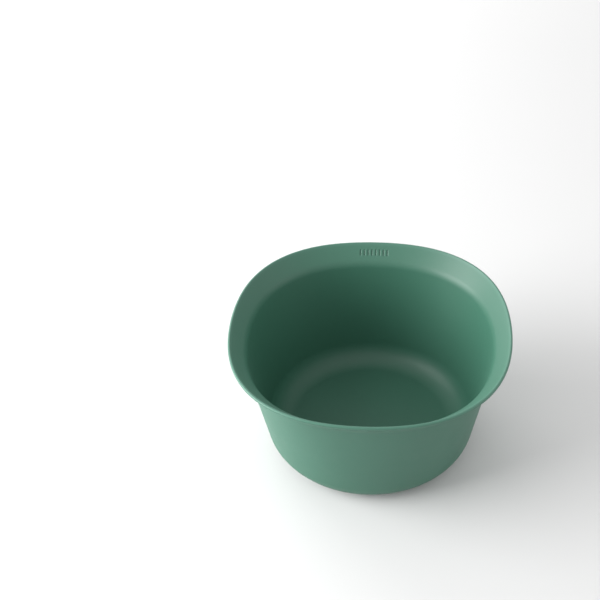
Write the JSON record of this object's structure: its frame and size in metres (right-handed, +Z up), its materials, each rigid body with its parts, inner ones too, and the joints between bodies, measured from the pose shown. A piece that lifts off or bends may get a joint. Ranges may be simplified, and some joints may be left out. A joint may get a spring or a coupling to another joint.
{
  "type": "mixing bowl",
  "caption": "Deep moulded plastic mixing bowl with a soft-square plan, a steep wall that rounds into a flat base, a wide flared rim band and an anti-slip ring under its foot.",
  "frame": {"origin": "centre of the base on the plane that the bowl stands on", "axes": "+Z up out of the bowl's mouth; +Y towards the side whose band carries the pressed mark; X and Y run through the flat sides of the soft-square plan"},
  "size_m": [0.27, 0.27, 0.14],
  "materials": {
    "bowl_plastic": "satin moulded plastic, fir green",
    "ring_elastomer": "matt soft elastomer, dark green"
  },
  "bodies": {
    "root": {"bowl": "bowl_plastic", "anti_slip_ring": "ring_elastomer"}
  },
  "joints": []
}
